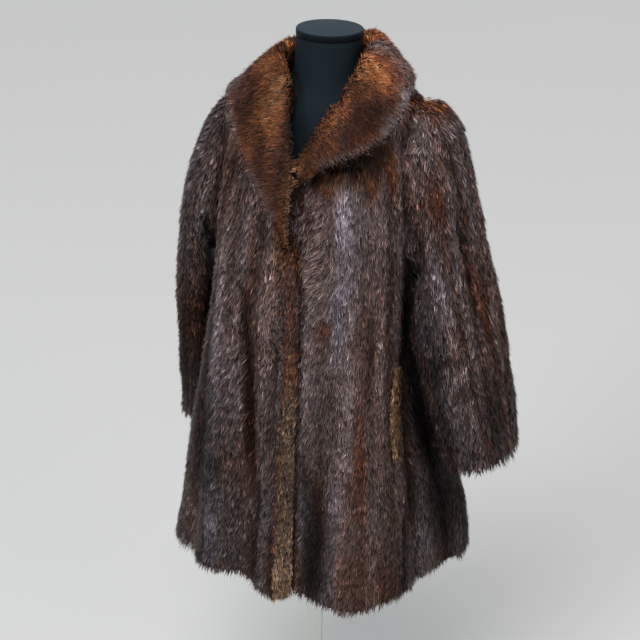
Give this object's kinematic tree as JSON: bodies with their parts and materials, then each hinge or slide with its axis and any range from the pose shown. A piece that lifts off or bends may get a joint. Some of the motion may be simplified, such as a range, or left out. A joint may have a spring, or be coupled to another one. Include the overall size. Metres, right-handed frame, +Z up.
{
  "type": "fur coat on dress form",
  "caption": "Flared thigh-length fur coat with a wide shawl collar, set-in sleeves and a slanted welt pocket, on a limbless dress form with a pole stand.",
  "frame": {"origin": "centre of the stand's base plate, on its underside", "axes": "+Z up along the pole, -Y out of the coat's front, +X towards the wearer's left"},
  "size_m": [0.5952, 0.3985, 1.4503],
  "materials": {
    "body_fur": "long glossy guard hair over dense underfur, lengthwise pelts",
    "collar_fur": "long ginger-brown fur with cool tips",
    "edge_fur": "shorter golden-tan fur along the edges",
    "form_jersey": "taut black jersey cover",
    "cap_plastic": "matte top with a smooth rim",
    "stand_chrome": "polished tube",
    "stand_steel": "brushed round plate with a turned collar"
  },
  "bodies": {
    "root": {"front_right": "body_fur", "front_left": "body_fur", "back": "body_fur", "sleeve_right": "body_fur", "sleeve_left": "body_fur", "collar": "collar_fur", "band_right": "edge_fur", "band_left": "edge_fur", "pocket_welt": "edge_fur", "form_torso": "form_jersey", "form_cap": "cap_plastic", "stand_pole": "stand_chrome", "stand_foot": "stand_steel"}
  },
  "joints": []
}
